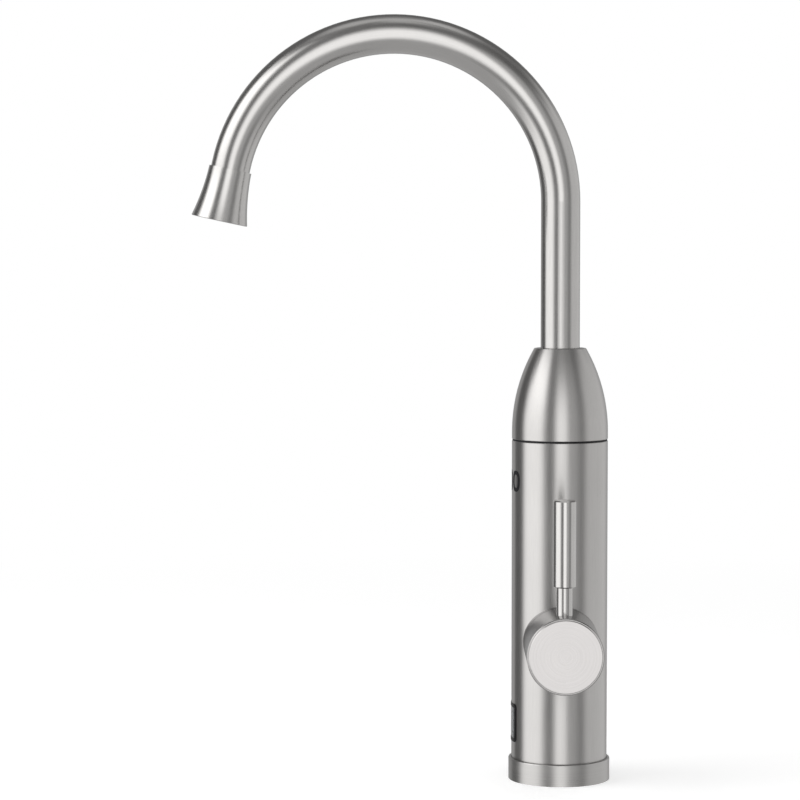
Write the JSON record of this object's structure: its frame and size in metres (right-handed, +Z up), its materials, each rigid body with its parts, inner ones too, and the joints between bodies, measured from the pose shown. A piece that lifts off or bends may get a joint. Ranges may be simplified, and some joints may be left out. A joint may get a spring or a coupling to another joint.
{
  "type": "electric instant water heater tap",
  "caption": "Brushed steel deck-mounted tap with a heater in its upright body, a round-arch swivel spout, a side lever and a small temperature display.",
  "frame": {"origin": "on the body axis at the underside of the foot gasket, where the tap stands on the deck", "axes": "+Z up along the body, -Y towards the spout's outlet and the display, +X towards the handle"},
  "size_m": [0.1036, 0.2357, 0.4305],
  "materials": {
    "satin_steel": "fine lengthwise brushed satin",
    "face_steel": "fine turned satin",
    "vessel_steel": "rolled, dull",
    "wire_steel": "bright",
    "zinc_steel": "zinc plated",
    "tinned_copper": "tinned",
    "cast_foot": "die-cast, matt",
    "black_rubber": "matt",
    "black_plastic": "moulded, matt",
    "bezel_black": "gloss",
    "smoked_lens": "clear smoked",
    "bare_brass": "machined",
    "white_plastic": "moulded, semi-matt",
    "blue_plastic": "moulded, matt",
    "ferrite": "sintered, dull",
    "disc_ceramic": "lapped",
    "element_sheath": "annealed, dull",
    "reed_glass": "clear green",
    "lit_digits": "lit, pale",
    "circuit_board": "solder mask",
    "green_plastic": "moulded, matt",
    "red_lead": "silicone sleeve"
  },
  "bodies": {
    "body": {"base_ring": "satin_steel", "base_gasket": "black_rubber", "base_casting": "cast_foot", "tie_rods": "zinc_steel", "inlet_nipple": "bare_brass", "inlet_strainer": "wire_steel", "cable_gland": "black_plastic", "cord_clamp": "black_plastic", "foot_screws": "zinc_steel", "earth_lug": "tinned_copper", "body_shell": "satin_steel", "seam_gasket": "black_rubber", "dome_cover": "satin_steel", "flow_housing": "white_plastic", "piston_spring": "wire_steel", "reed_switch": "reed_glass", "valve_block": "bare_brass", "cartridge_seal": "black_rubber", "fixed_disc": "disc_ceramic", "cartridge_body": "white_plastic", "cartridge_nut": "bare_brass", "handle_collar": "satin_steel", "feed_pipe": "bare_brass", "vessel": "vessel_steel", "vessel_cap": "white_plastic", "vessel_seal": "black_rubber", "heating_element": "element_sheath", "element_terminals": "disc_ceramic", "thermal_cutout": "black_plastic", "cutout_clip": "wire_steel", "temperature_probe": "bare_brass", "spout_socket": "bare_brass", "o_rings": "black_rubber", "thrust_washer": "white_plastic", "spout_snap_ring": "white_plastic", "spout_bush": "black_plastic", "display_bezel": "bezel_black", "display_lens": "smoked_lens", "display_module": "black_plastic", "display_digits": "lit_digits", "control_board": "circuit_board", "board_bracket": "white_plastic", "power_relay": "black_plastic", "terminal_block": "green_plastic", "leads": "red_lead"},
    "handle": {"moving_disc": "disc_ceramic", "valve_spindle": "bare_brass", "handle_knob": "satin_steel", "handle_cap": "face_steel", "handle_screw": "zinc_steel", "lever_rod": "satin_steel", "lever_grip": "satin_steel"},
    "spout": {"spout_tube": "satin_steel", "outlet_adapter": "bare_brass", "aerator_seal": "black_rubber", "aerator_insert": "white_plastic", "aerator_mesh": "wire_steel", "aerator_housing": "satin_steel"},
    "piston": {"flow_piston": "blue_plastic", "piston_magnet": "ferrite"}
  },
  "joints": [
    {"name": "spout_swivel", "type": "hinge", "parent": "body", "child": "spout", "pos_m": [0, 0, 0.2], "axis": [0, 0, 1], "continuous": true},
    {"name": "handle_turn", "type": "hinge", "parent": "body", "child": "handle", "pos_m": [0.04, 0, 0.08], "axis": [1, 0, 0], "range_deg": [-90, 90]},
    {"name": "piston_lift", "type": "slide", "parent": "body", "child": "piston", "axis": [0, 0, 1], "range_m": [0, 0.006], "stiffness_N_per_m": 20, "springref_m": -0.003, "deforming": ["piston_spring"]}
  ]
}
